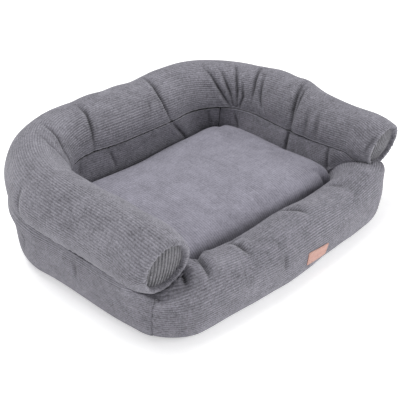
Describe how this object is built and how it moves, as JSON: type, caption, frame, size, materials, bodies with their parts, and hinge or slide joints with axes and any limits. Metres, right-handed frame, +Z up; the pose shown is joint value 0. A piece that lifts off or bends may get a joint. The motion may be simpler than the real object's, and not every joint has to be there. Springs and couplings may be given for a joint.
{
  "type": "pet bed",
  "caption": "Sofa-shaped corduroy pet bed with stuffed walls, a U-shaped bolster with round arm ends, a low front and a loose zipped cushion.",
  "frame": {"origin": "on the floor under the middle of the bed's bounding box", "axes": "+X to the right along the long side, +Y from the low front to the back, +Z up"},
  "size_m": [0.6961, 0.5519, 0.228],
  "materials": {
    "wall_cord": "grey jumbo corduroy, fine ribs along the wall, soft low pile",
    "bolster_cord": "grey jumbo corduroy, ribs running along the bolster",
    "disc_cord": "grey jumbo corduroy cut across, upright ribs",
    "cushion_cord": "grey corduroy, brushed softer, ribs front to back",
    "underside_cloth": "black woven non-slip cloth",
    "grip_rubber": "black soft vinyl dots, matt",
    "lining_cloth": "dark grey plain lining",
    "filling": "white polyester fibre",
    "label_leather": "tan imitation leather, fine grain",
    "thread": "tan sewing thread",
    "zip_tape": "dark woven tape",
    "zip_nylon": "dark nylon coil",
    "zip_metal": "dark painted zinc"
  },
  "bodies": {
    "bed": {"underside_panel": "underside_cloth", "grip_dots": "grip_rubber", "floor_wadding": "filling", "floor_lining": "lining_cloth", "front_wall_cover": "wall_cord", "front_wall_fill": "filling", "right_wall_cover": "wall_cord", "right_wall_fill": "filling", "back_wall_cover": "wall_cord", "back_wall_fill": "filling", "left_wall_cover": "wall_cord", "left_wall_fill": "filling", "bolster_cover": "bolster_cord", "bolster_fill": "filling", "left_end_disc": "disc_cord", "right_end_disc": "disc_cord", "label": "label_leather", "label_stitches": "thread"},
    "cushion": {"cushion_top_cover": "cushion_cord", "cushion_base_cover": "lining_cloth", "cushion_fill": "filling", "zip_upper_tape": "zip_tape", "zip_lower_tape": "zip_tape", "zip_upper_coil": "zip_nylon", "zip_lower_coil": "zip_nylon", "zip_stops": "zip_metal"},
    "zip_slider": {"zip_slider": "zip_metal"}
  },
  "joints": [
    {"name": "cushion_lift", "type": "slide", "parent": "bed", "child": "cushion", "axis": [0, 0, 1], "range_m": [0, 0.25]},
    {"name": "zip_slide", "type": "slide", "parent": "cushion", "child": "zip_slider", "axis": [-1, 0, 0], "range_m": [0, 0.186]}
  ]
}
